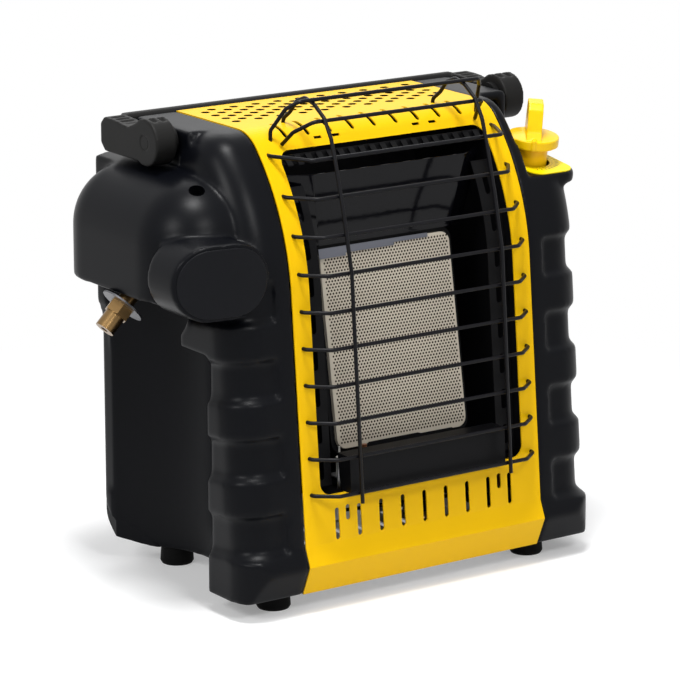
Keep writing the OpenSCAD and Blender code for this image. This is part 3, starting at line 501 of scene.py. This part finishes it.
enamel = finish("black_enamel", (0.0022, 0.0022, 0.0035), 0.09, grain=(120.0, 0.00010), gloss=0.20)
sooty = finish("heat_blackened_sheet", (0.0030, 0.0030, 0.0036), 0.42, gloss=0.10)
for node, name, slot, material in [
    ("reflector_hood", "hood_sheet", "black_enamel", enamel),
    ("side_reflectors", "slotted_side_sheets", "wire_black", sooty),
    ("tray_bar", "tray_sheet", "wire_black", sooty),
    ("louvre_strip", "louvre_sheet", "wire_black", sooty),
]:
    stand_for(eased(node, name), node, "body", material)
dress("firebox_liner", sooty)

# ------------------------------------------------------------------ burner
# A cream ceramic tile, pierced all over by fine holes, in a pressed steel box. A stepped strip of
# steel grips its top edge and a blackened one its bottom edge.
tile_clay = finish("tile_ceramic", (0.50, 0.45, 0.37), 0.85, grain=(900.0, 0.00020), tone=0.08,
                   gloss=0.2)
# The dark brown of the burner holes is painted shade, for the shade inside each fine hole
hole_painted_shade = finish("burner_hole_painted_shade", (0.030, 0.022, 0.015), 0.9, gloss=0.0)
dress("ceramic_tile", tile_clay)
dress("burner_box", sooty)
dress("venturi", sooty)

# The plane of the tile's face, from the middle of its foot
tile_lean = math.radians(9.7)
tile_foot = SHEET_FOOT + Vector((0, 0.027, 0.116))
tile_up = Vector((0, math.sin(tile_lean), math.cos(tile_lean)))
tile_out = Vector((0, -math.cos(tile_lean), math.sin(tile_lean)))
tile_plane = Matrix(((1, 0, 0), tuple(tile_up), tuple(tile_out))).transposed().to_4x4()

# Burner holes in staggered rows, each a small disc of dark painted shade lying on the face of the
# tile
tile_half, disc_proud = 0.0775, 0.00006
holes_tree, sizes_in = tree_of("tile_holes", Pitch=0.0028, Hole=0.0018, Width=0.1162,
                               Height=0.1455)
disc = node_in(holes_tree, "GeometryNodeMeshCircle", [("Vertices", 7)], fill_type="NGON")
hole_radius = worked_out(holes_tree, "MULTIPLY", sizes_in.outputs["Hole"], 0.5)
row_pitch = worked_out(holes_tree, "MULTIPLY", sizes_in.outputs["Pitch"], math.sqrt(3))
holes_tree.links.new(hole_radius, disc.inputs["Radius"])
end_tree(holes_tree, staggered(holes_tree, sizes_in, disc.outputs[0], sizes_in.outputs["Pitch"],
                               row_pitch), hole_painted_shade)
face_middle = tile_foot + tile_half * tile_up + disc_proud * tile_out
burner_holes = grown("burner_holes", holes_tree, hole_painted_shade,
                     Matrix.Translation(face_middle) @ tile_plane)
fitted(burner_holes, "body", hole_painted_shade)

# The strips that hold the tile, as outlines in its plane, in millimetres from the middle of its
# foot, and how far they start off its face and how thick they are, in metres
strip_steel = finish("strip_steel", (0.15, 0.155, 0.18), 0.45, metal=1.0, grain=(500.0, 0.00008))
strip_off, strip_thick = 0.0003, 0.0007
top_strip = [(-63, 149.2), (-38, 149.2), (-38, 151.4), (8, 151.4), (8, 153.6), (41, 153.6),
             (41, 157), (-63, 157)]
foot_strip = [(-40, -2), (-33, 1.8), (14, 1.8), (17, 0.8), (47, 0.8), (51, -2)]
for name, outline, slot, material in [
    ("tile_top_strip", top_strip, "steel", strip_steel),
    ("tile_foot_strip", foot_strip, "wire_black", sooty),
]:
    strip = drawn_out(name, [(x / 1000, z / 1000, strip_off) for x, z in outline],
                      (0, 0, strip_thick))
    strip.data.transform(Matrix.Translation(tile_foot) @ tile_plane)
    stand_for(strip, "tile_clips", "body", material)

# ------------------------------------------------------------------ pilot group
# A brass pilot, a ceramic electrode and a copper thermocouple, held by a bent steel bracket at
# the foot of the tile. A black lead brings the spark.
steel_plain = finish("plain_steel", (0.50, 0.50, 0.51), 0.38, metal=1.0, grain=(500.0, 0.00004))
brass = finish("turned_brass", (0.22, 0.135, 0.055), 0.30, metal=1.0, grain=(900.0, 0.00006))
copper = finish("copper_tube", (0.60, 0.26, 0.14), 0.30, metal=1.0)
black_plain = finish("plain_black_plastic", (0.005, 0.005, 0.005), 0.5, gloss=0.12)
white_ceramic = finish("white_ceramic", (0.65, 0.63, 0.58), 0.5)
for node, material in {
    "pilot_bracket": steel_plain, "pilot_burner": brass, "spark_electrode": white_ceramic,
    "thermocouple": copper, "ignition_lead": black_plain,
}.items():
    dress(node, material)

# ------------------------------------------------------------------ control knob
# A glossy yellow knob, moulded with a finger bar, over a yellow label on the sloped shelf. It sits
# on the stem of the brass valve, whose push plunger works the igniter.
knob_yellow = finish("knob_yellow", (0.90, 0.55, 0.002), 0.30, grain=(400.0, 0.00003), tone=0.02,
                     gloss=0.22)
label_yellow = finish("label_yellow", (0.86, 0.68, 0.002), 0.40, grain=(300.0, 0.00002),
                      tone=0.01, gloss=0.15)
label_ink = finish("label_ink", (0.010, 0.010, 0.010), 0.5, gloss=0.2)
stand_for(softened("control_knob", "knob_moulding", cell=0.0005, passes=10),
          "control_knob", "knob", knob_yellow)
dress("dial_plate", label_yellow)

# Printed strokes of the dial, in an arc round the collar
shelf_lean, label_top = math.radians(8), 0.00085
shelf_middle = SHEET_FOOT + Vector((0.150, 0.062, 0.313))
marks_tree, sizes_in = tree_of("dial_marks", Radius=0.020, Stroke=0.0026)
arc = node_in(marks_tree, "GeometryNodeCurveArc",
              [("Start Angle", math.radians(-112)), ("Sweep Angle", math.radians(140))])
points = node_in(marks_tree, "GeometryNodeCurveToPoints", [("Count", 15)])
stroke = node_in(marks_tree, "GeometryNodeMeshGrid",
                 [("Vertices X", 2), ("Vertices Y", 2), ("Size Y", 0.0006)])
turn = node_in(marks_tree, "FunctionNodeAlignRotationToVector", axis="Y")
set_out = node_in(marks_tree, "GeometryNodeInstanceOnPoints")
marks_tree.links.new(sizes_in.outputs["Radius"], arc.inputs["Radius"])
marks_tree.links.new(sizes_in.outputs["Stroke"], stroke.inputs["Size X"])
marks_tree.links.new(arc.outputs["Curve"], points.inputs["Curve"])
marks_tree.links.new(points.outputs["Tangent"], turn.inputs["Vector"])
marks_tree.links.new(points.outputs["Points"], set_out.inputs["Points"])
marks_tree.links.new(stroke.outputs["Mesh"], set_out.inputs["Instance"])
marks_tree.links.new(turn.outputs[0], set_out.inputs["Rotation"])
end_tree(marks_tree, set_out.outputs[0], label_ink)
shelf_place = Matrix.Translation(shelf_middle) @ Matrix.Rotation(shelf_lean, 4, "X")
lifted = shelf_place @ Matrix.Translation((0, 0, label_top))
for name, radius, length in (("dial_marks_inner", 0.0175, 0.0012),
                             ("dial_marks_outer", 0.0215, 0.0026)):
    marks = grown(name, marks_tree, label_ink, lifted, Radius=radius, Stroke=length)
    fitted(marks, "body", label_ink)
for node, material in {
    "valve_stem": steel_plain, "gas_valve": brass, "valve_bracket": steel_plain,
    "igniter_plunger": black_plain, "piezo_igniter": black_plain,
}.items():
    dress(node, material)

# ------------------------------------------------------------------ gas inlet
# A turned brass inlet with a thread for the bottle, swivelling between the two ears of a yoke.
# A steel regulator and copper pipes take the gas on to the valve and the burner.
washer_steel = finish("dull_washer", (0.12, 0.12, 0.13), 0.40, metal=1.0)
for node in ("inlet_yoke", "swivel_elbow", "gas_inlet", "orifice_fitting"):
    dress(node, brass)
for node in ("supply_pipe", "burner_pipe", "pilot_pipe"):
    dress(node, copper)
dress("inlet_washer", washer_steel)
dress("regulator", steel_plain)

# ------------------------------------------------------------------ back, base and fasteners
# A black rear sheet and a plain base plate, closed with screws, on four rubber feet. The brass
# pendulum of the tip-over switch hangs in a steel housing inside.
black_coat = finish("black_powder_coat", (0.0045, 0.0048, 0.0058), 0.45, grain=(900.0, 0.00020),
                    gloss=0.10)
rubber = finish("foot_rubber", (0.0030, 0.0030, 0.0030), 0.7, grain=(1800.0, 0.00020), gloss=0.08)
for node, material in {
    "rear_panel": black_coat, "base_plate": steel_plain, "rubber_feet": rubber,
    "rear_screws": steel_plain, "shell_screws": steel_plain, "handle_pivot_pins": black_plain,
    "tilt_switch_housing": steel_plain, "tilt_pendulum": brass,
}.items():
    dress(node, material)
